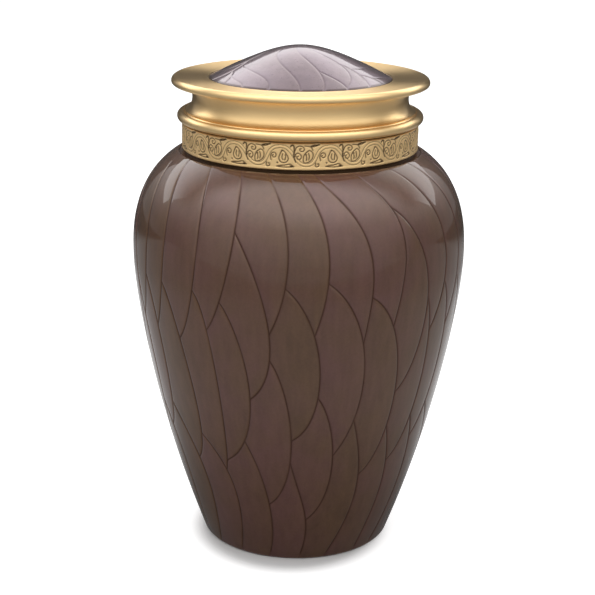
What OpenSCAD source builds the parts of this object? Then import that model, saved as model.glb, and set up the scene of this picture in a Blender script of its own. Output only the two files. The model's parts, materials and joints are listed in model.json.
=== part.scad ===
// Cremation urn: a hollow brass vessel with a flaring flank, a full shoulder,
// an engraved collar at the mouth and a broad turned lid with a low domed top.
// Millimetres, +Z up. The origin is the centre of the underside of the foot,
// and Z is the axis that every piece is turned about.

/* [Body] */
// Radius of the foot where the flank rises from it
foot_r = 49.2; // [45:0.1:54]
// Radius of the belly at its widest
belly_r = 85.5; // [81:0.1:90]
// Height of the widest part of the belly
belly_z = 154; // [146:0.5:162]
// Height at which the shoulder ends below the collar
shoulder_z = 206.1; // [202:0.1:212]
// Thickness of the cast brass wall
wall = 2; // [1.5:0.1:2.6]

/* [Collar] */
// Outer radius of the engraved collar
collar_r = 60; // [58.5:0.1:61]
// Height of the engraved face
collar_h = 12.8; // [10:0.1:16]
// Thickness of the collar ring
collar_wall = 4.5; // [4:0.1:5]
// Height of the shadow gap between the shoulder and the collar
collar_gap = 1.4; // [0.8:0.1:1.8]
// Height of the shadow gap between the collar and the lid's bead
lid_gap = 0.9; // [0.5:0.1:1.2]

/* [Lid] */
// Outer radius of the lid's lip
lip_r = 65.1; // [63:0.1:68]
// Height of the lip
lip_h = 3.9; // [3.8:0.1:5]
// Radius of the lid's neck, at the bottom of its cove
cove_r = 54.6; // [54:0.1:55.2]
// Height from the top of the bead to the underside of the lip
cove_h = 13.6; // [11:0.1:16]
// Radius of the round bead above the collar
bead_r = 2.4; // [2:0.1:2.8]
// How far the skirt reaches down into the mouth
skirt_h = 10; // [6:0.5:14]
// How far the top of the lid falls from its lip to the dome
dish_fall = 0.8; // [0.5:0.1:1.2]

/* [Dome] */
// Radius of the enamelled dome in the lid
dome_r = 45.9; // [43:0.1:47]
// Rise of the dome above its seat
dome_rise = 16; // [12:0.5:22]
// Thickness of the dome's metal
dome_wall = 2; // [1.5:0.1:2.5]

/* [Hidden] */
$fn = 180;

// Foot ring under the body
foot_edge = 1;
foot_ring_w = 5;
foot_recess = 2;

// The flank and the shoulder are two cubic curves that meet upright at the
// belly. A pull is the length of a curve's handle.
flank_lean = 0.38;
flank_pull = 69;
belly_pull_down = 20;
belly_pull_up = 6;
shoulder_top_r = collar_r + 2.1;
shoulder_lean = 1.7;
shoulder_pull = 14.8;
flank = [
    [foot_r, 0],
    [foot_r + flank_lean * flank_pull, flank_pull],
    [belly_r, belly_z - belly_pull_down],
    [belly_r, belly_z],
];
shoulder = [
    [belly_r, belly_z],
    [belly_r, belly_z + belly_pull_up],
    [shoulder_top_r + shoulder_lean * shoulder_pull, shoulder_z - shoulder_pull],
    [shoulder_top_r, shoulder_z],
];
flank_steps = 16;
shoulder_steps = 16;

// Seats of the stacked pieces, from the shoulder up. The collar's seat lies
// a little below the shoulder's edge.
seat_drop = 0.6;
seat_z = shoulder_z - seat_drop;
collar_z = shoulder_z + collar_gap;
collar_top = collar_z + collar_h;
bead_z = collar_top + lid_gap + bead_r;
bead_top = bead_z + bead_r;
lip_z = bead_top + cove_h;
lip_top = lip_z + lip_h;
dome_z = lip_top - dish_fall;

// Mouth of the vessel, the collar's bore and the lid's skirt
mouth_r = collar_r - collar_wall;
gap_step = 1.6;
skirt_fit = 0.3;
skirt_r = mouth_r - skirt_fit;
skirt_wall = 3;
skirt_in_r = skirt_r - skirt_wall;
edge_break = 0.3;

// Lid section
bead_mid_r = collar_r - 0.1;
step_r = collar_r - gap_step;
fillet_r = 3.7;
groove_z = 0.6;
lip_under_r = 1.5;
lip_over_r = 2.3;
rim_land = 1;
dome_fit = 0.1;
seat_w = 3;
seat_depth = 2;
seat_floor = 2.1;

// The dome's section is a hyperbola: round at the top, nearly straight below
dome_nose = 13.2;
dome_steps = 18;

function lerp_steps(n) = [for (i = [0 : n]) i / n];
function bezier(p, t) =
    pow(1 - t, 3) * p[0] + 3 * pow(1 - t, 2) * t * p[1]
    + 3 * (1 - t) * t * t * p[2] + pow(t, 3) * p[3];
function bezier_run(p, t) =
    3 * pow(1 - t, 2) * (p[1] - p[0]) + 6 * (1 - t) * t * (p[2] - p[1])
    + 3 * t * t * (p[3] - p[2]);
// A point moved by d to the left of a direction
function beside(point, run, d) = point + d * [-run.y, run.x] / norm(run);
function bezier_inset(p, t, d) = beside(bezier(p, t), bezier_run(p, t), d);
function arc(centre, r, from, to, n = 8) =
    [for (i = [0 : n])
        let (a = from + (to - from) * i / n)
        centre + r * [cos(a), sin(a)]];
function reversed(list) = [for (i = [len(list) - 1 : -1 : 0]) list[i]];

// The outer surface of the body, from the foot up to the shoulder's edge
function body_outside() = concat(
    [for (t = lerp_steps(flank_steps)) if (t > 0) bezier(flank, t)],
    [for (t = lerp_steps(shoulder_steps)) if (t > 0) bezier(shoulder, t)]
);
// The same curve one wall thickness further in, from the floor up to the mouth
function body_inside(floor_z, top_z) = concat(
    [for (t = lerp_steps(flank_steps))
        let (p = bezier_inset(flank, t, wall))
        if (p.y > floor_z + 1) p],
    [for (t = lerp_steps(shoulder_steps))
        let (p = bezier_inset(shoulder, t, wall))
        if (t > 0 && p.y < top_z) p]
);

// Hollow vessel. A ring under the foot carries it, and the mouth is a flat
// seat for the collar.
module urn_body() {
    floor_z = foot_recess + wall;
    seat_under = seat_z - wall;
    ring_in_r = foot_r - foot_edge - foot_ring_w;
    outside = concat(
        arc([foot_r - foot_edge, foot_edge], foot_edge, -90, -10, 4),
        body_outside(),
        [[shoulder_top_r - seat_drop, shoulder_z], [shoulder_top_r - 1, seat_z], [mouth_r, seat_z]]
    );
    inside = concat(
        [[mouth_r, seat_under]],
        reversed(body_inside(floor_z, seat_under)),
        [[foot_r - wall - foot_edge, floor_z], [0, floor_z]]
    );
    underside = [[0, foot_recess], [ring_in_r - foot_recess, foot_recess], [ring_in_r, 0]];
    color([0.36, 0.28, 0.24])
        rotate_extrude()
            polygon(concat(outside, inside, underside));
}

// Brass ring round the mouth. Its plain cylinder carries the engraved band.
module collar_band() {
    foot_in = collar_r - gap_step;
    color([0.78, 0.63, 0.42])
        rotate_extrude()
            polygon([
                [mouth_r, seat_z],
                [foot_in, seat_z],
                [foot_in, collar_z],
                [collar_r - edge_break, collar_z],
                [collar_r, collar_z + edge_break],
                [collar_r, collar_top - edge_break],
                [collar_r - edge_break, collar_top],
                [mouth_r + edge_break, collar_top],
                [mouth_r, collar_top - edge_break],
            ]);
}

// Turned brass lid: skirt, bead, cove and a broad lip whose top is dished
// down to the seat of the dome. It is open in the middle, under the dome.
module lid() {
    bead_open = acos((step_r - bead_mid_r) / bead_r);
    foot_of_cove = bead_top + groove_z;
    outside = concat(
        [
            [skirt_r - 1, collar_top - skirt_h],
            [skirt_r, collar_top - skirt_h + 1],
            [skirt_r, collar_top],
            [step_r, collar_top],
        ],
        arc([bead_mid_r, bead_z], bead_r, -bead_open, bead_open, 14),
        [[step_r - 0.4, bead_top]],
        arc([cove_r + fillet_r, foot_of_cove + fillet_r], fillet_r, 270, 180),
        arc([cove_r + fillet_r, lip_z - fillet_r], fillet_r, 180, 90),
        arc([lip_r - lip_under_r, lip_z + lip_under_r], lip_under_r, -90, 0, 4),
        arc([lip_r - lip_over_r, lip_top - lip_over_r], lip_over_r, 0, 90),
        [[lip_r - lip_over_r - rim_land, lip_top - 0.1]]
    );
    seat_r = dome_r + dome_fit;
    inside = [
        [seat_r, dome_z],
        [seat_r, dome_z - seat_depth],
        [seat_r - seat_w, dome_z - seat_depth],
        [seat_r - seat_w, dome_z - seat_depth - seat_floor],
        [skirt_in_r - 2, dome_z - seat_depth - seat_floor],
        [skirt_in_r, dome_z - seat_depth - seat_floor - 2],
        [skirt_in_r, collar_top - skirt_h],
    ];
    color([0.85, 0.7, 0.45])
        rotate_extrude()
            polygon(concat(outside, inside));
}

// Height of the dome's section at radius r, for a dome of radius big and rise h
function dome_height(r, big, h) =
    let (spread = (pow(h + dome_nose, 2) - pow(dome_nose, 2)) / pow(big, 2))
    h + dome_nose - sqrt(pow(dome_nose, 2) + spread * r * r);

// Thin enamelled cap that sits in the lid's seat
module lid_dome() {
    in_r = dome_r - dome_wall;
    outer = [for (t = lerp_steps(dome_steps))
        [dome_r * t, dome_z + dome_height(dome_r * t, dome_r, dome_rise)]];
    inner = [for (t = reversed(lerp_steps(dome_steps)))
        [in_r * t, dome_z - dome_wall + 0.6
            + dome_height(in_r * t, in_r, dome_rise - 0.6)]];
    color([0.6, 0.52, 0.5])
        rotate_extrude()
            polygon(concat(outer, [[dome_r, dome_z - seat_depth], [in_r, dome_z - seat_depth]], inner));
}

urn_body();
collar_band();
lid();
lid_dome();
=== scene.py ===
# %% [markdown]
# # A brass cremation urn
#
# The urn is four pieces of brass: a hollow vessel, an engraved collar round its
# mouth, a turned lid, and a low dome set into the lid. The vessel and the dome are
# carved with long feathers and covered with brown pearl enamel under clear gloss.
# Their sizes were settled in CAD, and this script keeps them: it remakes each piece
# in the same place with its carving, and gives it its finish.

# %% Load the CAD model and the tools
import json
import math
import random
from functools import lru_cache

import bmesh
import bpy
import numpy as np
from mathutils import Matrix, Vector
from mathutils.kdtree import KDTree

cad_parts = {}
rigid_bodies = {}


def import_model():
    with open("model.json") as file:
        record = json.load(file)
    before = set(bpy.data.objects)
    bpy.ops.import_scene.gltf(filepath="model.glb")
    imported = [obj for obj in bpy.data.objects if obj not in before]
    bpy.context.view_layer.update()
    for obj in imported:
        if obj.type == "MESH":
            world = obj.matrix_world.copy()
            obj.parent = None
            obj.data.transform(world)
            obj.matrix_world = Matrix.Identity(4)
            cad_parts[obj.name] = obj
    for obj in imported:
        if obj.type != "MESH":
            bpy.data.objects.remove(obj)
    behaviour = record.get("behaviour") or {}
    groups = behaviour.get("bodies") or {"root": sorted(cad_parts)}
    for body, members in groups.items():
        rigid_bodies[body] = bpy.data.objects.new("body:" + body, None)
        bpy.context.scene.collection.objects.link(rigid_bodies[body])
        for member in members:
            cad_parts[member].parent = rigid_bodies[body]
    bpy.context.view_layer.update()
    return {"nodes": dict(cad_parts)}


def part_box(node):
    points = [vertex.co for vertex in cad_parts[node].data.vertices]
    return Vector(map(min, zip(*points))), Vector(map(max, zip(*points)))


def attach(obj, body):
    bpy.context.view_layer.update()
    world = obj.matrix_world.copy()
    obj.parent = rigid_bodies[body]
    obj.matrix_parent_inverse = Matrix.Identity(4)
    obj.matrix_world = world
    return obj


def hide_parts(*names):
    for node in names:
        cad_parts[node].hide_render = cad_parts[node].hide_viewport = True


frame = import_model()
MM = 0.001
print("CAD pieces:", sorted(frame["nodes"]))

# %% [markdown]
# ## Where the pieces meet
#
# Millimetres are the maker's unit here, with Z up the axis that every piece is
# turned about, and angles measured from the front (-Y) towards the right (+X).
# The heights are read from the CAD pieces, so nothing has to be fitted later.

# %% Heights and radii, in millimetres
def height_range(node):
    low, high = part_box(node)
    return low.z / MM, high.z / MM

def widest_radius(node):
    low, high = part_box(node)
    return round(high.x / MM, 1)

shoulder_top = height_range("urn_body")[1]
seat_height, collar_top = height_range("collar_band")
skirt_foot, lip_top = height_range("lid")
dome_foot, crown_height = height_range("lid_dome")
belly_radius = widest_radius("urn_body")
collar_radius = widest_radius("collar_band")
lip_radius = widest_radius("lid")
dome_radius = widest_radius("lid_dome")
collar_wall = 4.5
collar_gap = 1.4
mouth_radius = collar_radius - collar_wall
collar_foot = shoulder_top + collar_gap
print(f"shoulder at {shoulder_top:.1f}, collar from {collar_foot:.1f} to {collar_top:.1f}")
print(f"lid up to {lip_top:.1f}, crown at {crown_height:.1f}")
print(f"radii: belly {belly_radius}, collar {collar_radius}, lip {lip_radius}, dome {dome_radius}")

# %% [markdown]
# ## Turned outlines
#
# A spinner or a lathe gives a piece its outline. The flank and the shoulder are two
# smooth curves that meet upright at the belly, and the dome's section is a hyperbola,
# round at the crown and almost straight below it. A Bezier curve needs only four
# points for a long fair sweep, which is why it is used instead of many measured radii.

# %% Curves
def bezier(points, t):
    a, b, c, d = (np.array(p, float) for p in points)
    t = np.asarray(t, float)[:, None]
    return (1 - t) ** 3 * a + 3 * (1 - t) ** 2 * t * b + 3 * (1 - t) * t * t * c + t ** 3 * d

def arc(centre, radius, start, end, steps=8):
    angles = np.radians(np.linspace(start, end, steps + 1))
    return [(centre[0] + radius * math.cos(a), centre[1] + radius * math.sin(a)) for a in angles]

foot_radius = 49.2
belly_height = 154
shoulder_edge = 62.1
fine = np.linspace(0, 1, 300)
foot_turn = 1.2
flank = bezier([(foot_radius, 0), (75.42, 69), (belly_radius, 134), (belly_radius, belly_height)], fine)
shoulder = bezier([
    (belly_radius, belly_height), (belly_radius, 160),
    (87.26, shoulder_top - 14.8), (shoulder_edge, shoulder_top),
], fine)
body_outline = np.vstack([shoulder[::-1], flank[::-1][1:]])
body_outline = body_outline[body_outline[:, 1] > foot_turn]
print("body outline:", len(body_outline), "points from", body_outline[0], "to", body_outline[-1])

dish_fall = 0.8
dome_seat = lip_top - dish_fall
dome_rise = crown_height - dome_seat
dome_nose = 13.2
dome_spread = ((dome_rise + dome_nose) ** 2 - dome_nose ** 2) / dome_radius ** 2
def dome_height(radius):
    return dome_seat + dome_rise + dome_nose - np.sqrt(dome_nose ** 2 + dome_spread * radius ** 2)

crown_opening = 2.5
dome_radii = np.linspace(crown_opening, dome_radius, 300)
dome_outline = np.column_stack([dome_radii, dome_height(dome_radii)])
print(f"dome rises {dome_rise:.1f} mm from its seat at {dome_seat:.1f}")

# %% [markdown]
# ## Carving feathers on a turned surface
#
# The carver draws long curved lines on the turned brass. Each line leaves the belly
# of the line on its left, swings out to the right and sweeps back until its tip
# touches a line again, so every two lines enclose one feather. They could be cut as a
# displacement on an even grid, but a fine groove would then come out ragged. Here
# every feather is a grid patch of its own, whose rows follow the turning and whose
# columns crowd together beside the lines, so each groove is clean at a low count.

# %% A turned surface with even rows
class TurnedSurface:
    def __init__(self, outline, row_step):
        run = np.concatenate([[0], np.cumsum(np.linalg.norm(np.diff(outline, axis=0), axis=1))])
        self.rows = np.linspace(0, run[-1], int(round(run[-1] / row_step)) + 1)
        self.radius = np.interp(self.rows, run, outline[:, 0])
        self.height = np.interp(self.rows, run, outline[:, 1])
        self.out_r = -np.gradient(self.height, self.rows)
        self.out_z = np.gradient(self.radius, self.rows)

    def point(self, angle, row, depth=0.0):
        r = self.radius[row] - depth * self.out_r[row]
        z = self.height[row] - depth * self.out_z[row]
        a = math.radians(angle)
        return Vector((r * math.sin(a), -r * math.cos(a), z)) * MM

body_surface = TurnedSurface(body_outline, 1.2)
dome_surface = TurnedSurface(dome_outline, 1.0)
body_surface.mark = lambda height: np.interp(height, body_surface.height[::-1], body_surface.rows[::-1])
dome_surface.mark = lambda radius: np.interp(radius, dome_surface.radius, dome_surface.rows)
print("rows on the body:", len(body_surface.rows), "and on the dome:", len(dome_surface.rows))

# %% A feather line, and how it meets its neighbours
class FeatherLine:
    def __init__(self, surface, points):
        path = bezier(points, fine)
        run = np.maximum.accumulate(surface.mark(path[:, 1]))
        self.first = int(np.argmin(abs(surface.rows - run[0])))
        self.last = int(np.argmin(abs(surface.rows - run[-1])))
        self.angles = np.interp(surface.rows[self.first:self.last + 1], run, path[:, 0])

    def at(self, row):
        return self.angles[row - self.first]

    def crosses(self, row):
        return self.first < row < self.last

def turn_between(start, end):
    return (end - start + 180) % 360 - 180

def join_ends(lines, last_row, rounds=8):
    for _ in range(rounds):
        for line in lines:
            share = np.linspace(0, 1, len(line.angles))
            for row, weight in ((line.first, (1 - share) ** 3), (line.last, share ** 3)):
                if row in (0, last_row):
                    continue
                here = line.at(row)
                crossing = [other for other in lines if other is not line and other.crosses(row)]
                gaps = [turn_between(here, other.at(row)) for other in crossing]
                line.angles = line.angles + min(gaps, key=abs) * weight

def repeat_thirds(surface, pattern, wander, seed):
    dice = random.Random(seed)
    lines = []
    for third in range(3):
        for points in pattern.values():
            moved = []
            for i, (angle, place) in enumerate(points):
                if third:
                    angle = angle + 120 * third + dice.uniform(-1, 1) * wander
                    place = place + dice.uniform(-1, 1) * wander * (0 < i)
                moved.append((angle, place))
            lines.append(FeatherLine(surface, moved))
    join_ends(lines, len(surface.rows) - 1)
    return lines

# %% [markdown]
# The lines of one third of the body, from the row under the collar down to the row
# that runs off the foot. Each has four points: where it starts, two that pull it to
# the right, and its tip. Each point is an angle in degrees and a height.

# %% Feather lines of the body
TOP = shoulder_top
body_pattern = {
    "under collar 1": [(-61, TOP), (-44, 190), (-51, 137), (-57, 125)],
    "under collar 2": [(-43, TOP), (-30, 194), (-35, 138), (-45, 123)],
    "under collar 3": [(-27, TOP), (-16, 198), (-24, 142), (-31, 131)],
    "under collar 4": [(-14, TOP), (1, 193), (-2, 153), (-9, 133)],
    "under collar 5": [(-1, TOP), (15, 189), (10, 150), (6, 132)],
    "under collar 6": [(6, TOP), (30, 185), (25, 157), (22, 127)],
    "under collar 7": [(24, TOP), (42, 188), (38, 171), (34, 134)],
    "under collar 8": [(43, TOP), (62, 193), (61, 146), (52, 126)],
    "shoulder 3": [(-22, 181), (-11, 162), (-2, 112), (-16, 97)],
    "shoulder 7": [(36, 191), (53, 175), (51, 108), (40, 97)],
    "belly 1": [(-52, 150), (-46, 143), (-34, 70), (-48, 55)],
    "belly 2": [(-37, 150), (-29, 141), (-27, 65), (-31, 53)],
    "belly 3": [(-26, 147), (-19, 136), (-8, 73), (-29, 59)],
    "belly 4": [(-4, 157), (10, 141), (13, 84), (-2, 75)],
    "belly 5": [(10, 159), (25, 144), (30, 90), (15, 65)],
    "belly 6": [(24, 151), (41, 139), (44, 63), (29, 52)],
    "belly 7": [(48, 146), (54, 125), (56, 67), (42, 56)],
    "belly 8": [(57, 151), (65, 138), (68, 80), (55, 66)],
    "flank 1": [(-42, 71), (-25, 52), (-26, 22), (-34, 0)],
    "flank 2": [(-18, 73), (-13, 51), (-8, 16), (-16, 0)],
    "flank 3": [(-9, 119), (-3, 107), (5, 47), (-12, 35)],
    "flank 4": [(8, 99), (14, 89), (22, 39), (5, 26)],
    "flank 5": [(22, 85), (30, 52), (33, 31), (17, 0)],
    "flank 6": [(38, 78), (45, 48), (46, 33), (37, 0)],
    "flank 7": [(52, 80), (59, 58), (62, 23), (49, 0)],
    "flank 8": [(62, 83), (75, 56), (81, 34), (68, 0)],
    "foot 3": [(-2, 62), (2, 36), (10, 24), (2, 0)],
}
body_lines = repeat_thirds(body_surface, body_pattern, 0.8, seed=4)
print("feather lines round the body:", len(body_lines))

# %% Feather lines of the dome
dome_pattern = {
    "crown 1": [(-75, 2.5), (-50, 20), (0, 25), (0, 46)],
    "crown 2": [(-35, 2.5), (10, 16), (24, 28), (14, 46)],
    "crown 3": [(5, 2.5), (52, 14), (55, 32), (29, 44)],
    "edge 1": [(18, 31), (26, 36), (31, 41), (30, 46)],
    "edge 2": [(51, 26), (56, 31), (54, 38), (47, 46)],
    "edge 3": [(53, 31), (70, 33), (100, 33.5), (100, 46)],
    "edge 4": [(53, 36), (61, 38.5), (64, 42), (64, 46)],
    "edge 5": [(63, 40), (73, 42), (82, 43), (82, 46)],
}
dome_lines = repeat_thirds(dome_surface, dome_pattern, 0.4, seed=9)
print("feather lines on the dome:", len(dome_lines))

# %% [markdown]
# A patch reaches from the nearest line on its left to its own line, row by row. At a
# tip or a start both sides meet in a point. Beside each line the columns stand at the
# same few distances, a little further where the line slants. Neighbouring patches use
# the same rows, so their borders fall together and weld into one skin.

# %% Patches between the lines
beside = [0, 0.3, 0.62, 1.05, 1.8]
COLUMNS = 13
most_lean = 2.6

def slant(surface, line, row):
    i = row - line.first
    low, high = max(i - 1, 0), min(i + 1, len(line.angles) - 1)
    across = math.radians(line.angles[high] - line.angles[low]) * surface.radius[row]
    along = (high - low) * (surface.rows[1] - surface.rows[0])
    return min(math.hypot(1, across / along), most_lean)

def left_neighbour(lines, line, row):
    here = line.at(row)
    gaps = [((here - other.at(row)) % 360, i) for i, other in enumerate(lines)
            if other is not line and other.first <= row <= other.last]
    gap, which = min(g for g in gaps if g[0] > 1e-6)
    return gap, lines[which]

def row_across(surface, lines, line, row, last_row):
    here = line.at(row)
    if row in (line.first, line.last) and row not in (0, last_row):
        return [here] * (COLUMNS + 1)
    gap, left = left_neighbour(lines, line, row)
    width = math.radians(gap) * surface.radius[row]
    lean_l, lean_r = slant(surface, left, row), slant(surface, line, row)
    near = len(beside) - 1
    from_left = [min(beside[i] * lean_l, width * i / COLUMNS) for i in range(near + 1)]
    from_right = [width - min(beside[i] * lean_r, width * i / COLUMNS) for i in range(near + 1)][::-1]
    middle = list(np.linspace(from_left[-1], from_right[0], COLUMNS - 2 * near + 1)[1:-1])
    return [here - gap + math.degrees(x / surface.radius[row]) for x in from_left + middle + from_right]

# %% Carve the grooves
groove_half = 0.72
soft_reach = 1.7
dark_reach = 0.75
marks_a_row = 6

def groove_depth(distance, depth):
    cut = max(0.0, 1 - (distance / groove_half) ** 2) ** 1.5
    return depth * (0.75 * cut + 0.25 * math.exp(-(distance / soft_reach) ** 2))

def tree_of_lines(surface, lines):
    starts = [(line, row) for line in lines for row in range(line.first, line.last)]
    tree = KDTree(len(starts) * marks_a_row)
    for i, (line, row) in enumerate(starts):
        start = surface.point(line.at(row), row)
        end = surface.point(line.at(row + 1), row + 1)
        for j in range(marks_a_row):
            tree.insert(start.lerp(end, j / marks_a_row), i * marks_a_row + j)
    tree.balance()
    return tree

def carve_skin(surface, lines, depth, strength, seed):
    dice = random.Random(seed)
    last_row = len(surface.rows) - 1
    tree = tree_of_lines(surface, lines)
    bm = bmesh.new()
    tone_layer = bm.faces.layers.float.new("feather_tone")
    groove_layer = bm.verts.layers.float.new("groove")
    across_layer = bm.loops.layers.float.new("across")
    for line in lines:
        patch = bmesh.ops.create_grid(bm, x_segments=COLUMNS, y_segments=line.last - line.first, size=0.5)
        rows = {}
        for vert in patch["verts"]:
            rows.setdefault(round((0.5 - vert.co.y) * (line.last - line.first)), []).append(vert)
        tone = dice.random()
        for face in {face for vert in patch["verts"] for face in vert.link_faces}:
            face[tone_layer] = tone
            for loop in face.loops:
                loop[across_layer] = loop.vert.co.x + 0.5
        for step, verts in rows.items():
            row = line.first + step
            verts.sort(key=lambda vert: vert.co.x)
            for vert, angle in zip(verts, row_across(surface, lines, line, row, last_row)):
                on_surface = surface.point(angle, row)
                distance = tree.find(on_surface)[2] / MM
                vert[groove_layer] = max(0.0, 1 - distance / dark_reach) * strength[row]
                vert.co = surface.point(angle, row, groove_depth(distance, depth * strength[row]))
    bmesh.ops.remove_doubles(bm, verts=bm.verts, dist=2e-6)
    return bm

fade_at_ends = np.clip((shoulder_top - body_surface.height) / 10, 0.25, 1)
fade_at_ends *= np.clip((body_surface.height - foot_turn) / 3, 0, 1)
body_depth = 0.34
body_bm = carve_skin(body_surface, body_lines, body_depth, fade_at_ends, seed=21)
print("carved body skin:", len(body_bm.verts), "points,", len(body_bm.faces), "faces")

# %% [markdown]
# ## Closing a carved skin into a hollow piece
#
# The vessel is hollow, with a wall of 2 mm, and so is the dome. The rim of the carved
# skin is carried inwards step by step, which is what a spinner does when the metal is
# turned over: down the seat and the inner wall to the floor, and round the foot ring
# to the recess under it. The last ring shrinks to a point, so the shell is closed.

# %% Carry a rim along an outline
def open_rim(bm, upper):
    rims = [edge for edge in bm.edges if edge.is_boundary]
    middle = sum(edge.verts[0].co.z for edge in rims) / len(rims)
    return [edge for edge in rims if (edge.verts[0].co.z > middle) == upper]

def carry_rim(bm, edges, outline, bare=True):
    bare_layer = bm.faces.layers.float.get("bare_metal") or bm.faces.layers.float.new("bare_metal")
    groove_layer = bm.verts.layers.float["groove"]
    for radius, height in outline:
        made = bmesh.ops.extrude_edge_only(bm, edges=edges)["geom"]
        verts = {item for item in made if isinstance(item, bmesh.types.BMVert)}
        edges = [item for item in made if isinstance(item, bmesh.types.BMEdge) and set(item.verts) <= verts]
        for face in (item for item in made if isinstance(item, bmesh.types.BMFace)):
            face[bare_layer] = float(bare)
        for vert in verts:
            across = math.hypot(vert.co.x, vert.co.y)
            vert.co = (vert.co.x * radius * MM / across, vert.co.y * radius * MM / across, height * MM)
            vert[groove_layer] = 0.0
    return edges

def close_rim(bm, edges, height, bare=True):
    edges = carry_rim(bm, edges, [(0.02, height)], bare)
    verts = list({vert for edge in edges for vert in edge.verts})
    bmesh.ops.pointmerge(bm, verts=verts, merge_co=(0, 0, height * MM))

sharp_angle = math.radians(50)
def make_piece(name, bm, finish, node):
    bmesh.ops.recalc_face_normals(bm, faces=bm.faces)
    mesh = bpy.data.meshes.new(name)
    bm.to_mesh(mesh)
    triangles = sum(len(face.verts) - 2 for face in bm.faces)
    bm.free()
    mesh.shade_smooth()
    mesh.set_sharp_from_angle(angle=sharp_angle)
    mesh.materials.append(finish)
    piece = bpy.data.objects.new(name, mesh)
    bpy.context.scene.collection.objects.link(piece)
    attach(piece, "root")
    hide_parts(node)
    print(name, "has", triangles, "triangles")

# %% Inner wall, floor and foot ring of the body
wall = 2
floor_height = 4
inside = np.column_stack([
    body_surface.radius - wall * body_surface.out_r,
    body_surface.height - wall * body_surface.out_z,
])
inside = inside[(inside[:, 1] < seat_height - wall) & (inside[:, 1] > floor_height + 1)][::8]
seat = [
    (shoulder_edge - 0.3, shoulder_top), (shoulder_edge - 0.7, shoulder_top - 0.2),
    (shoulder_edge - 1, seat_height), (mouth_radius + 1.5, seat_height),
]
mouth = [
    (mouth_radius + 0.3, seat_height), (mouth_radius, seat_height - 0.3),
    (mouth_radius, seat_height - wall + 0.2), (mouth_radius + 0.4, seat_height - wall),
]
floor_of_body = [
    (foot_radius - 1, floor_height + 1.2), (foot_radius - 3, floor_height),
    (30, floor_height), (12, floor_height),
]
mouth_rim, foot_rim = open_rim(body_bm, True), open_rim(body_bm, False)
rim = carry_rim(body_bm, mouth_rim, seat, bare=False)
close_rim(body_bm, carry_rim(body_bm, rim, mouth + list(inside) + floor_of_body), floor_height)
recess = 2
foot_ring = [(49.4, 0.7), (49.0, 0.2), (48.3, 0)]
under_foot = [(43.5, 0), (43.0, 0.15), (41.3, recess - 0.1), (40.8, recess), (20, recess)]
rim = carry_rim(body_bm, foot_rim, foot_ring, bare=False)
close_rim(body_bm, carry_rim(body_bm, rim, under_foot), recess)
print("open edges left on the body:", sum(edge.is_boundary for edge in body_bm.edges))

# %% [markdown]
# The dome is closed in the same way, under and over. Its lines are cut less than half
# as deep and fade towards the crown, and a line of painted shade darkens the enamel
# round its edge, where it meets the lid.

# %% Carve and close the dome
fade_at_crown = np.clip((dome_surface.radius - 8) / 12, 0, 1)
dome_depth = 0.14
dome_bm = carve_skin(dome_surface, dome_lines, dome_depth, fade_at_crown, seed=33)
dome_wall = 2
inner_radius = dome_radius - dome_wall
dome_side = [
    (dome_radius, dome_seat - 0.4), (dome_radius, dome_foot + 0.2),
    (dome_radius - 0.2, dome_foot), (inner_radius, dome_foot),
]
inner_radii = np.linspace(inner_radius, 3, 14)
dome_under = [(r, dome_height(r * dome_radius / inner_radius) - dome_wall) for r in inner_radii]
crown_rim, seat_rim = open_rim(dome_bm, True), open_rim(dome_bm, False)
rim = carry_rim(dome_bm, seat_rim, dome_side[:3], bare=False)
close_rim(dome_bm, carry_rim(dome_bm, rim, dome_side[3:] + dome_under[1:]), crown_height - dome_wall)
tip = 1.2
rim = carry_rim(dome_bm, crown_rim, [(tip, dome_height(tip))], bare=False)
close_rim(dome_bm, rim, crown_height - 0.01, bare=False)
# Painted shade round the dome's edge: the groove mark is set high there, which darkens the enamel and thins
# its gloss.
painted_shade_width = 0.9
painted_shade_strength = 2.2
dome_groove_and_shade = dome_bm.verts.layers.float["groove"]
for vert in dome_bm.verts:
    if math.hypot(vert.co.x, vert.co.y) > (dome_radius - painted_shade_width) * MM:
        vert[dome_groove_and_shade] = painted_shade_strength
print("open edges left on the dome:", sum(edge.is_boundary for edge in dome_bm.edges))

# %% [markdown]
# ## Shader maths in Python
#
# A finish is a network of nodes. Writing it as arithmetic keeps it readable: a
# Shade wraps one output, and adding or multiplying Shades adds the Math nodes.

# %% Arithmetic on shader values
class Shade:
    def __init__(self, recipe, socket):
        self.recipe = recipe
        self.socket = socket

    def maths(self, operation, other, swapped=False):
        pair = {0: other, 1: self} if swapped else {0: self, 1: other}
        return self.recipe.add("ShaderNodeMath", {"operation": operation}, pair)

    def __add__(self, other):
        return self.maths("ADD", other)

    def __radd__(self, other):
        return self.maths("ADD", other)

    def __sub__(self, other):
        return self.maths("SUBTRACT", other)

    def __rsub__(self, other):
        return self.maths("SUBTRACT", other, swapped=True)

    def __mul__(self, other):
        return self.maths("MULTIPLY", other)

    def __rmul__(self, other):
        return self.maths("MULTIPLY", other)

    def __truediv__(self, other):
        return self.maths("DIVIDE", other)

    def __pow__(self, other):
        return self.maths("POWER", other)

    def within(self):
        return self.recipe.add("ShaderNodeClamp", {}, {"Value": self})

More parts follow.
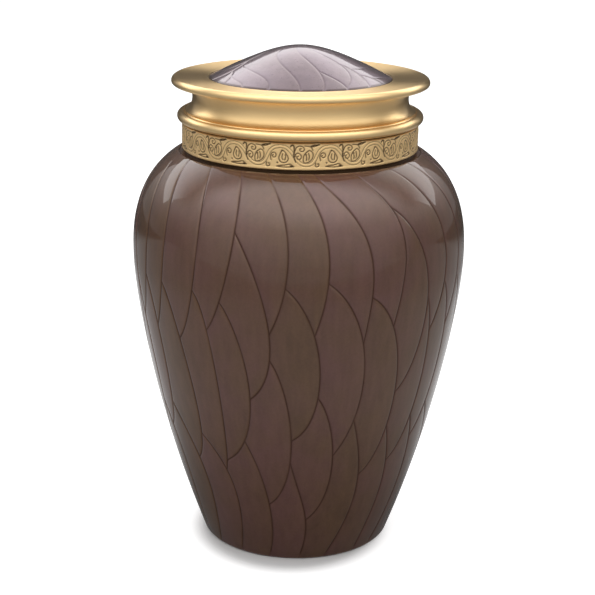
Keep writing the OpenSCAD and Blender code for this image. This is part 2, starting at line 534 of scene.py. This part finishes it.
class Recipe:
    def __init__(self, owner):
        owner.use_nodes = True
        self.tree = owner.node_tree
        self.tree.nodes.clear()

    def add(self, kind, settings=None, sockets=None, output=0):
        node = self.tree.nodes.new(kind)
        for name, value in (settings or {}).items():
            if name == "stops":
                ramp = node.color_ramp.elements
                while len(ramp) < len(value):
                    ramp.new(0.5)
                for element, (position, level) in zip(ramp, value):
                    element.position = position
                    element.color = (level, level, level, 1)
            else:
                setattr(node, name, value)
        for name, value in (sockets or {}).items():
            if isinstance(value, Shade):
                self.tree.links.new(value.socket, node.inputs[name])
            else:
                node.inputs[name].default_value = value
        return Shade(self, node.outputs[output])

    def place(self):
        return self.add("ShaderNodeTexCoord", output="Object")

    def place_xyz(self):
        node = self.add("ShaderNodeSeparateXYZ", {}, {0: self.place()}).socket.node
        return [Shade(self, output) for output in node.outputs]

    def ease(self, value, start, end):
        sockets = {"Value": value, "From Min": start, "From Max": end}
        return self.add("ShaderNodeMapRange", {"interpolation_type": "SMOOTHSTEP"}, sockets)

    def reading(self, name):
        return self.add("ShaderNodeAttribute", {"attribute_name": name}, output="Fac")

    def mix(self, share, first, second, blend="MIX"):
        settings = {"data_type": "RGBA", "blend_type": blend}
        return self.add("ShaderNodeMix", settings, {0: share, 6: first, 7: second}, output=2)

    def noise(self, place, scale, detail=3, rough=0.5):
        sockets = {"Vector": place, "Scale": scale, "Detail": detail, "Roughness": rough}
        return self.add("ShaderNodeTexNoise", {}, sockets)

    def grey(self, level):
        return self.add("ShaderNodeCombineColor", {}, {0: level, 1: level, 2: level})

    def show(self, surface, kind="ShaderNodeOutputMaterial"):
        node = self.tree.nodes.new(kind)
        self.tree.links.new(surface.socket, node.inputs["Surface"])

def colour(red, green, blue):
    return (red, green, blue, 1)

print("shader arithmetic is ready")

# %% [markdown]
# ## Brown pearl enamel
#
# The enamel is a cloudy brown with mica in it, which gives the soft metallic glow,
# under a thick clear gloss, which gives the sharp reflections. The base is therefore
# fairly rough and partly metallic, a third on the vessel and two thirds on the dome,
# and the gloss is a separate smooth coat. The dome wears the same enamel, but its
# colours are painted paler and pinker, as painted light from the overhead light it
# faces. Feathers differ a little in tone, some more olive and some more purple, and
# the colour gathers darker in the grooves. Across each feather there is painted shade:
# it turns more purple and a little darker towards the line on its left. Where the
# metal is bare, as on the inner wall, the coat stops.

# %% The enamel
bare_brass = colour(0.72, 0.47, 0.2)
def pearl_enamel(name, olive, purple, deep, groove_share, mica_share, roughness):
    material = bpy.data.materials.new(name)
    recipe = Recipe(material)
    place = recipe.place()
    stretched = recipe.add("ShaderNodeMapping", {}, {"Vector": place, "Scale": (1, 1, 0.12)})
    cloud = recipe.noise(place, 55, detail=4, rough=0.6)
    mica = recipe.noise(place, 900, detail=2)
    streaks = recipe.noise(stretched, 260, detail=3)
    tone = recipe.reading("feather_tone")
    across = recipe.reading("across")
    bare = recipe.reading("bare_metal")
    # On the dome's edge this groove mark is painted shade, not a cut.
    groove = recipe.reading("groove") * (0.5 + recipe.noise(place, 38, detail=2)).within()
    # Painted shade across each feather: towards the line on its left the hue turns more purple and the light
    # term a little darker.
    hue = (cloud * 1.5 - 0.3 + (tone - 0.5) * 0.7 - (across - 0.5) * 0.9).within()
    light = 0.84 + (tone - 0.5) * 0.14 + (mica - 0.5) * 0.2 + (cloud - 0.5) * 0.3
    light = light + (streaks - 0.5) * 0.35 + across * 0.05
    enamel = recipe.mix(hue, olive, purple)
    enamel = recipe.mix(1.0, enamel, recipe.grey(light), "MULTIPLY")
    enamel = recipe.mix((groove ** 1.5 * groove_share).within(), enamel, deep)
    surface = recipe.add("ShaderNodeBsdfPrincipled", {}, {
        "Base Color": recipe.mix(bare, enamel, bare_brass),
        "Metallic": mica_share + bare * (1 - mica_share),
        "Roughness": roughness + (mica - 0.5) * 0.12,
        "Coat Weight": (1 - bare) * (1 - groove * groove_share * 0.85),
        "Specular IOR Level": 0.1,
        "Coat Roughness": 0.04,
        "Coat IOR": 1.5,
    })
    recipe.show(surface)
    return material

body_enamel = pearl_enamel(
    "brown_pearl_enamel",
    olive=colour(0.15, 0.077, 0.041),
    purple=colour(0.138, 0.063, 0.052),
    deep=colour(0.045, 0.017, 0.008),
    groove_share=1.0, mica_share=0.35, roughness=0.42,
)
# The dome wears the vessel's enamel; its paler, pinker colours are painted light from the overhead light it
# faces.
dome_enamel_painted_paler = pearl_enamel(
    "dome_pearl_enamel_painted_paler",
    olive=colour(0.24, 0.17, 0.18),
    purple=colour(0.228, 0.163, 0.196),
    deep=colour(0.08, 0.05, 0.05),
    groove_share=0.3, mica_share=0.7, roughness=0.3,
)
print("enamels:", body_enamel.name, dome_enamel_painted_paler.name)

# %% The vessel and the dome
make_piece("urn_body_carved", body_bm, body_enamel, "urn_body")
make_piece("lid_dome_carved", dome_bm, dome_enamel_painted_paler, "lid_dome")

# %% [markdown]
# ## Satin brass
#
# The lid was brushed while it turned, so fine scratches run round it. They stretch
# each highlight across the scratches, which is what draws the light fans on the top of
# the lip. Anisotropy makes the fans and a faint bump in rings makes the scratches. The
# collar's face is duller from the graver, so part of its light is scattered. Dirt
# stays in the cuts, and the seams carry dirt with painted shade; both are painted on
# the mesh as one patina mark.

# %% The brushed brass
ring_scale = 5200
# One dark colour for the dirt in the cuts and for the painted shade in the seams.
dirt_and_shade_colour = colour(0.07, 0.035, 0.01)
def satin_brass(name, base, tarnish, lustre, roughness, brushing, stretch):
    material = bpy.data.materials.new(name)
    recipe = Recipe(material)
    x, y, z = recipe.place_xyz()
    radius = (x * x + y * y) ** 0.5
    ring = {0: x / radius * 0.9, 1: y / radius * 0.9, 2: radius * ring_scale}
    scratches = recipe.add("ShaderNodeTexNoise", {"noise_dimensions": "4D"}, {
        "Vector": recipe.add("ShaderNodeCombineXYZ", {}, ring),
        "W": z * ring_scale, "Scale": 1, "Detail": 3, "Roughness": 0.6,
    })
    cloud = recipe.noise(recipe.place(), 40, detail=3)
    # The patina mark: real dirt in the engraved cuts, and dirt with painted shade in the seams.
    aged_and_shaded = recipe.reading("patina")
    worn = ((cloud - 0.45) * 1.2).within() * 0.35
    metal = recipe.mix((worn + (scratches - 0.5) * 0.25).within(), base, tarnish)
    bump = {"Strength": brushing, "Distance": 0.00004, "Height": scratches}
    surface = recipe.add("ShaderNodeBsdfPrincipled", {}, {
        "Base Color": recipe.mix(aged_and_shaded.within(), metal, dirt_and_shade_colour),
        "Metallic": lustre - aged_and_shaded * 0.35,
        "Roughness": roughness + (scratches - 0.5) * 0.12 + aged_and_shaded * 0.3,
        "Normal": recipe.add("ShaderNodeBump", {}, bump),
        "Anisotropic": stretch,
        "Anisotropic Rotation": 0.25,
    })
    recipe.show(surface)
    return material

lid_brass = satin_brass(
    "satin_brass", base=colour(0.95, 0.68, 0.34), tarnish=colour(0.8, 0.5, 0.2),
    lustre=1.0, roughness=0.32, brushing=0.35, stretch=0.85,
)
collar_brass = satin_brass(
    "engraved_brass", base=colour(0.97, 0.68, 0.33), tarnish=colour(0.85, 0.56, 0.25),
    lustre=0.72, roughness=0.36, brushing=0.3, stretch=0.8,
)
print("brasses:", lid_brass.name, collar_brass.name)

# %% [markdown]
# ## The turned lid
#
# The lid is one turning: a skirt that drops into the mouth, a round bead that meets
# the collar, a hollow neck (the cove), and a broad lip whose top falls slightly to
# the seat of the dome. Spinning a drawn section is how a lathe makes it.

# %% Spin a section
def spin_section(outline, steps):
    bm = bmesh.new()
    verts = [bm.verts.new((r * MM, 0, z * MM)) for r, z in outline]
    edges = [bm.edges.new(pair) for pair in zip(verts, verts[1:] + verts[:1])]
    bmesh.ops.spin(
        bm, geom=verts + edges, cent=(0, 0, 0), axis=(0, 0, 1),
        angle=2 * math.pi, steps=steps, use_merge=True,
    )
    bmesh.ops.remove_doubles(bm, verts=bm.verts, dist=1e-7)
    return bm

# %% The lid's section
bead_radius = 2.4
bead_middle = collar_radius - 0.1
lid_gap = 0.9
bead_height = collar_top + lid_gap + bead_radius
bead_top = bead_height + bead_radius
step_radius = collar_radius - 1.6
skirt_radius = mouth_radius - 0.3
bore_radius = skirt_radius - 3
bead_turn = math.degrees(math.acos((step_radius - bead_middle) / bead_radius))
skirt = [
    (skirt_radius - 1, skirt_foot), (skirt_radius, skirt_foot + 1),
    (skirt_radius, collar_top), (step_radius, collar_top),
]
bead = arc((bead_middle, bead_height), bead_radius, -bead_turn, bead_turn, 26)

neck_radius = 54.6
cove_end = neck_radius + 3.7
hollow = neck_radius - 1.25
lip_under = lip_top - 3.9
cove_curve = [
    (cove_end, bead_top + 0.6), (hollow, bead_top + 1.5), (hollow, lip_under - 0.9), (cove_end, lip_under),
]
cove = [(step_radius - 0.4, bead_top)] + [tuple(p) for p in bezier(cove_curve, np.linspace(0, 1, 29))]
under_round = 1.5
over_round = 2.3
lip = arc((lip_radius - under_round, lip_under + under_round), under_round, -90, 0, 8)
lip += arc((lip_radius - over_round, lip_top - over_round), over_round, 0, 90, 12)
lip += [(lip_radius - over_round - 1, lip_top - 0.1)]

seat_radius = dome_radius + 0.1
ledge_radius = seat_radius - 3
dish = [(seat_radius + 0.9, dome_seat), (seat_radius + 0.5, dome_seat), (seat_radius, dome_seat - 0.3)]
inside_lid = [
    (seat_radius, dome_foot), (ledge_radius, dome_foot), (ledge_radius, dome_foot - 2.1),
    (bore_radius - 2, dome_foot - 2.1), (bore_radius, dome_foot - 4.1), (bore_radius, skirt_foot),
]
lid_bm = spin_section(skirt + bead + cove + lip + dish + inside_lid, 300)
print("points in the lid's section:", len(lid_bm.verts) // 300)

# %% Dirt and painted shade in the lid's seams
seam_dirt_and_shade = 0.9
lid_dirt_and_shade = lid_bm.verts.layers.float.new("patina")
for vert in lid_bm.verts:
    radius = math.hypot(vert.co.x, vert.co.y) / MM
    height = vert.co.z / MM
    # The gap over the collar and the ring round the dome get dirt with painted shade, darkened where the
    # gaps would fall dark.
    over_the_collar = abs(height - collar_top) < 0.01
    round_the_dome = height > dome_seat - 1 and radius < seat_radius + 0.6
    if over_the_collar or round_the_dome:
        vert[lid_dirt_and_shade] = seam_dirt_and_shade
make_piece("lid_turned", lid_bm, lid_brass, "lid")

# %% [markdown]
# ## The engraved collar
#
# A vine scroll runs round the collar: a plain stem that waves up and down, with a
# hatched leaf and two small curls in each hollow, and a bud with one curl under each
# crest. It is cut with a graver, so the design is thin dark grooves in a plain bright
# surface. The ring is spun with a fine outer face, and each point of that face is sunk
# by its distance from the nearest stroke of one repeat, which is drawn once.

# %% Strokes of one repeat of the scroll, in millimetres along and above the collar's foot
REPEATS = 16
repeat_length = 2 * math.pi * collar_radius / REPEATS
stem = [
    (-12.2, 11.4), (-9.6, 10.8), (-7.5, 9), (-5.9, 7), (-4.3, 4.7), (-2.4, 3.1), (0, 2.5), (2.4, 3.1),
    (4, 4.9), (5, 7), (6.2, 9.1), (8.3, 10.8), (-12.2 + repeat_length, 11.4),
]
fine_strokes = {
    "bud": [
        (-11.6, 9.5), (-12.5, 7.7), (-13.1, 5.8), (-12.5, 4.2), (-10.9, 3.5), (-9.3, 4), (-8.6, 5.5),
        (-9.3, 7.3), (-10.5, 8.9), (-11.6, 9.5),
    ],
    "curl by the bud": [
        (-16.8, 4.6), (-17.1, 6.4), (-16.6, 7.8), (-15.4, 8.3), (-14.5, 7.5), (-14.7, 6.3), (-15.7, 6),
        (-16.3, 6.8), (-15.7, 7.2),
    ],
    "leaf": [
        (1.3, 9.5), (-0.4, 8.2), (-1.3, 6.5), (-1.4, 4.7), (-0.8, 3.5), (1.2, 4), (2.8, 5.6), (3.2, 7.6),
        (2.5, 9), (1.3, 9.5),
    ],
    "low curl": [
        (-5.3, 6.4), (-4.9, 7.8), (-3.9, 8.2), (-2.8, 7.5), (-2.4, 6.3), (-3.1, 5.2), (-4.2, 5.3),
        (-4.5, 6.3), (-3.7, 6.8),
    ],
    "high curl": [
        (-5.4, 9.3), (-4.8, 10.8), (-3.3, 11.6), (-1.6, 11.2), (-1, 10), (-1.7, 9), (-2.9, 9.2),
        (-3.1, 10.2), (-2.3, 10.3),
    ],
    "tendril": [(4.4, 3.5), (4.3, 2.2), (5, 1.6), (6, 2.1), (5.9, 3), (5.2, 2.9)],
    "low leaf, upper edge": [(-14.2, 1.7), (-12.2, 2.1), (-10, 2.4), (-7.7, 2.8), (-5.9, 1.6)],
    "low leaf, lower edge": [(-14.2, 1.7), (-10, 1.35), (-5.9, 1.6)],
    "high leaf, lower edge": [(2.1, 11.3), (4, 11.4), (6.2, 12.3)],
    "stalk of the leaf": [(-0.8, 11.7), (2, 11.2), (3.1, 9.6)],
    "vein 1": [(-0.3, 7.6), (0.1, 6), (0, 4.6)],
    "vein 2": [(1, 8.2), (1.4, 6.6), (1.1, 5)],
    "vein 3": [(-11.3, 7.8), (-11.6, 6), (-11, 4.8)],
    "vein 4": [(-10, 7.4), (-9.9, 6.2), (-10.2, 4.8)],
}
broad_strokes = {
    "high leaf": [(2.2, 11.5), (3.8, 12), (6.2, 12.3)],
    "sharp bud": [(-7.5, 11.3), (-6.8, 12), (-6, 11.5), (-5.7, 9.4), (-6, 7.5)],
    "sharp bud, stalk": [(-6, 7.5), (-5.7, 5.6), (-5, 4)],
    "tip of the bud": [(-11.6, 9.4), (-11.5, 9.2)],
    "tip of the leaf": [(-0.2, 7.7), (-0.1, 7.3)],
    "root of the low leaf": [(-7.5, 1.9), (-6.4, 1.7)],
    "seed": [(-13.9, 3.5), (-13.8, 3.4)],
}
print("strokes in one repeat:", len(fine_strokes) + len(broad_strokes), "of", round(repeat_length, 2), "mm")

# %% Distance from the strokes
def smooth_stroke(points, spacing=0.1):
    path = np.array(points, float)
    run = np.concatenate([[0], np.cumsum(np.linalg.norm(np.diff(path, axis=0), axis=1))])
    padded = np.vstack([2 * path[0] - path[1], path, 2 * path[-1] - path[-2]])
    out = []
    for i in range(len(path) - 1):
        a, b, c, d = padded[i:i + 4]
        for t in np.arange(0, 1, spacing / max(run[i + 1] - run[i], spacing)):
            bend = (2 * a - 5 * b + 4 * c - d) * t ** 2 + (3 * b - a - 3 * c + d) * t ** 3
            out.append(0.5 * (2 * b + (c - a) * t + bend))
    return np.array(out + [path[-1]])

def stroke_tree(strokes):
    points = np.vstack([smooth_stroke(points) for points in strokes])
    points = np.vstack([points + (turns * repeat_length, 0) for turns in (-1, 0, 1)])
    tree = KDTree(len(points))
    for i, (along, up) in enumerate(points):
        tree.insert((along, up, 0), i)
    tree.balance()
    return tree

stem_tree = stroke_tree([stem])
fine_tree = stroke_tree(fine_strokes.values())
broad_tree = stroke_tree(broad_strokes.values())

# %% How deep the graver goes at a point
half_stem = 0.72
half_cut = 0.05
cut_slope = 0.34
fine_extra = 0.05
broad_extra = 0.17

@lru_cache(maxsize=None)
def engraving(along, up):
    here = ((along + repeat_length / 2) % repeat_length - repeat_length / 2, up, 0)
    from_stem = stem_tree.find(here)[2]
    from_fine = fine_tree.find(here)[2] - fine_extra
    from_broad = broad_tree.find(here)[2] - broad_extra
    nearest = min(abs(from_stem - half_stem) + half_cut, from_fine, from_broad)
    cut = min(max(1 - (nearest - half_cut) / cut_slope, 0), 1)
    ground = min(max((from_stem - 0.8) / 0.3, 0), 1) * (1.3 < up < 12.5)
    return cut, ground

print("cut at the middle of the stem:", engraving(0, 2.5)[0])
print("cut at the edge of the stem:", round(engraving(0, 3.22)[0], 2))

# %% Spin the ring and engrave its face
FACE_ROWS = 44
columns_a_repeat = 72
edge_break = 0.3
deepest_cut = 0.3
ground_depth = 0.08
first_hollow = math.radians(2.95)
face_heights = np.linspace(collar_foot + edge_break, collar_top - edge_break, FACE_ROWS + 1)
ring_section = [
    (mouth_radius, seat_height), (step_radius, seat_height),
    (step_radius, collar_foot), (collar_radius - edge_break, collar_foot),
]
ring_section += [(collar_radius, z) for z in face_heights]
ring_section += [
    (collar_radius - edge_break, collar_top), (mouth_radius + edge_break, collar_top),
    (mouth_radius, collar_top - edge_break),
]
collar_bm = spin_section(ring_section, REPEATS * columns_a_repeat)
patina_and_shade_layer = collar_bm.verts.layers.float.new("patina")
for vert in collar_bm.verts:
    radius = math.hypot(vert.co.x, vert.co.y)
    height = vert.co.z / MM
    # The slot under the collar is darkened fully, as dirt with painted shade where the gap falls dark.
    if abs(radius / MM - step_radius) < 0.01:
        vert[patina_and_shade_layer] = 1.0
    on_face = face_heights[0] - 0.01 < height < face_heights[-1] + 0.01
    if radius < (collar_radius - 0.1) * MM or not on_face:
        continue
    along = (math.atan2(vert.co.x, -vert.co.y) - first_hollow) * collar_radius
    cut, ground = engraving(round(along % repeat_length, 2) % repeat_length, round(height - collar_foot, 2))
    depth = (deepest_cut * cut + ground_depth * ground) * MM
    vert.co.x *= 1 - depth / radius
    vert.co.y *= 1 - depth / radius
    vert[patina_and_shade_layer] = min(cut ** 1.3 + ground * 0.04, 1)
make_piece("collar_engraved", collar_bm, collar_brass, "collar_band")

# %% [markdown]
# ## Studio
#
# The urn stands on a plain white table inside a tent of thin cloth that is lit from
# above, so the light is soft, brightest overhead and dim near the table. The tent and
# the cards in it are hidden from the camera, which sees the plain white room past the
# table. The room's white is only for rays that look at it, and lights nothing.

# %% White for what looks past the object
def white_to_lenses(recipe):
    rays = recipe.add("ShaderNodeLightPath")
    outputs = rays.socket.node.outputs
    camera_ray = Shade(recipe, outputs["Is Camera Ray"])
    glossy_ray = Shade(recipe, outputs["Is Glossy Ray"])
    through_glass = Shade(recipe, outputs["Is Transmission Ray"])
    return (camera_ray + glossy_ray + through_glass).within()

world = bpy.data.worlds.new("white_room")
bpy.context.scene.world = world
WHITE = colour(1, 1, 1)
recipe = Recipe(world)
white_air = recipe.add("ShaderNodeBackground", {}, {"Color": WHITE, "Strength": white_to_lenses(recipe)})
recipe.show(white_air, "ShaderNodeOutputWorld")
bpy.context.scene.view_settings.view_transform = "Standard"
print("the room is white to the camera, to reflections and through glass")

# %% A piece of the stage
def stage_piece(name, bm, recipe_of):
    mesh = bpy.data.meshes.new(name)
    bm.to_mesh(mesh)
    bm.free()
    piece = bpy.data.objects.new(name, mesh)
    bpy.context.scene.collection.objects.link(piece)
    material = bpy.data.materials.new(name)
    recipe_of(Recipe(material))
    mesh.materials.append(material)
    return piece

# %% [markdown]
# The table keeps the shadow that the urn casts in the tent's light. Round the foot its
# glow is held off inside an offset ellipse, which paints a deeper soft shadow there.
# A little way past the foot it eases to a glow that reads as white. It is square and the
# tent is round, so its four corners lie outside the tent. Less light falls there, and
# from low down along a diagonal the far corner shows as a pale grey wedge.

# %% The table
TABLE_HALF = 2.9
table_glow = 0.6
def white_table(recipe):
    x, y = recipe.place_xyz()[:2]
    from_foot = (((x + 0.003) * 1.15) ** 2 + (y + 0.006) ** 2) ** 0.5
    # Painted shadow: no glow near the foot, full glow past the ellipse.
    past_painted_shadow = recipe.ease(from_foot, 0.049, 0.064)
    surface = recipe.add("ShaderNodeBsdfPrincipled", {}, {
        "Base Color": colour(0.8, 0.8, 0.8),
        "Roughness": 0.9,
        "Specular IOR Level": 0.0,
        "Emission Color": WHITE,
        "Emission Strength": white_to_lenses(recipe) * past_painted_shadow * table_glow,
    })
    recipe.show(surface)

bm = bmesh.new()
bmesh.ops.create_grid(bm, x_segments=1, y_segments=1, size=TABLE_HALF)
table = stage_piece("table", bm, white_table)
print("table", round(table.dimensions.x, 2), "m across")

# %% [markdown]
# The tent's cloth is a ramp from its hem to its top. A gloss mirrors it brighter than
# the light it sheds, most of all low down in front and hardly at all low at the back.
# High up behind it is mirrored dimmer, so that the flat top of the lip isn't burnt out
# when it is seen from above.

# %% The tent
TENT_RADIUS = 3
brightest = 2.5
fill_share = 0.6
cloth_levels = [(0, 0.32), (0.12, 0.38), (0.25, 0.54), (0.5, 1.15), (0.79, 2.35), (1, brightest)]
def tent_cloth(recipe):
    upward = recipe.add("ShaderNodeVectorMath", {"operation": "NORMALIZE"}, {0: recipe.place()})
    rise = recipe.add("ShaderNodeSeparateXYZ", {}, {0: upward}, output="Z")
    backward = recipe.add("ShaderNodeSeparateXYZ", {}, {0: upward}, output="Y")
    stops = [(place, level / brightest) for place, level in cloth_levels]
    cloth = recipe.add("ShaderNodeValToRGB", {"stops": stops}, {"Fac": rise})
    in_front = recipe.ease(0 - backward, -0.1, 0.8)
    low_down = 1 - recipe.ease(rise, 0.05, 0.5)
    high_behind = recipe.ease(backward, -0.15, 0.2) * recipe.ease(rise, 0.35, 0.6)
    evened = (1 + low_down * (in_front * 1.3 - 0.35)) * (1 - high_behind * 0.7)
    reflected = recipe.add("ShaderNodeLightPath", output="Is Glossy Ray")
    strength = (fill_share + reflected * (evened - fill_share)) * brightest
    recipe.show(recipe.add("ShaderNodeEmission", {}, {"Color": cloth, "Strength": strength}))

bm = bmesh.new()
bmesh.ops.create_icosphere(bm, subdivisions=4, radius=TENT_RADIUS)
everything = bm.verts[:] + bm.edges[:] + bm.faces[:]
bmesh.ops.bisect_plane(bm, geom=everything, plane_co=(0, 0, -0.05), plane_no=(0, 0, 1), clear_inner=True)
tent = stage_piece("tent", bm, tent_cloth)
tent.visible_camera = False
tent.visible_shadow = False
print("tent", round(tent.dimensions.z, 2), "m high")

# %% [markdown]
# Polished metal and gloss look right only with something dark to mirror as well as
# something bright, so three cards are there for reflections alone. A nearly black one
# stands behind. A grey one covers the table: it is dark round the foot, nearly black
# far behind and lightest in front, and just behind the urn a little of the white table
# shows through it. A bright panel leans over the back, for the top of the lip, and it
# fades out overhead because a hard edge would show as a line in the gloss.

# %% Cards for the reflections
def reflected_card(name, width, depth, place, recipe_of):
    bm = bmesh.new()
    bmesh.ops.create_grid(bm, x_segments=1, y_segments=1, size=0.5)
    bmesh.ops.scale(bm, verts=bm.verts, vec=(width, depth, 1))
    bmesh.ops.transform(bm, matrix=place, verts=bm.verts)
    card = stage_piece(name, bm, recipe_of)
    card.visible_camera = False
    card.visible_diffuse = False
    card.visible_shadow = False
    print(name, "is", width, "by", depth, "m")

def glow(level, clear_share=None):
    def recipe_of(recipe):
        x, y = recipe.place_xyz()[:2]
        light = recipe.add("ShaderNodeEmission", {}, {"Color": level(recipe, x, y), "Strength": 1.0})
        if clear_share:
            clear = recipe.add("ShaderNodeBsdfTransparent")
            light = recipe.add("ShaderNodeMixShader", {}, {0: clear_share(recipe, x, y), 1: light, 2: clear})
        recipe.show(light)
    return recipe_of

def even(level):
    return lambda recipe, x, y: colour(level, level, level)

def darker_near_the_foot(recipe, x, y):
    radius = (x * x + y * y) ** 0.5
    level = 0.12 + recipe.ease(radius, 0.05, 0.2) * 0.32 - recipe.ease(radius, 0.33, 0.55) * 0.12
    level = level * (1 - recipe.ease(y, 0.5, 0.75) * 0.85) + recipe.ease(0 - y, 0.5, 0.9) * 0.22
    return recipe.grey(level)

def clear_behind(recipe, x, y):
    most_clear = 0.28
    from_middle = ((x / 0.3) ** 2 + ((y - 0.32) / 0.3) ** 2) ** 0.5
    return most_clear - recipe.ease(from_middle, 0.7, 1.1) * most_clear

def clear_overhead(recipe, x, y):
    return recipe.ease(0.95 - y, 0, 0.6)

upright = Matrix.Translation((0, 1.1, 0.43)) @ Matrix.Rotation(math.pi / 2, 4, "X")
lying = Matrix.Translation((0, 0, 0.001))
leaning = Matrix.Translation((0, 0.3, 1.66)) @ Matrix.Rotation(math.radians(-48), 4, "X")
reflected_card("card_behind", 1.5, 0.86, upright, glow(even(0.06)))
reflected_card("floor_of_cards", 5.7, 5.7, lying, glow(darker_near_the_foot, clear_behind))
reflected_card("panel_behind", 4.6, 2.4, leaning, glow(even(2.2), clear_overhead))

# %% [markdown]
# ## Camera
#
# A short telephoto lens stands 0.1 m higher than the lid and 0.77 m away, looks down
# 17 degrees and is tilted by less than one. That shows the top of the lip as a thin
# ellipse and keeps the outline close to its true proportions.

# %% The camera
look_down = 0.2944
tilt = 0.0122
lens = bpy.data.cameras.new("camera")
lens.sensor_width = 36
lens.lens = 92.1
camera = bpy.data.objects.new("camera", lens)
camera.location = (-0.0003, -0.7653, 0.3587)
turned = Matrix.Rotation(math.pi / 2 - look_down, 3, "X") @ Matrix.Rotation(tilt, 3, "Z")
camera.rotation_euler = turned.to_euler()
bpy.context.scene.collection.objects.link(camera)
bpy.context.scene.camera = camera
print("camera at", tuple(camera.location))
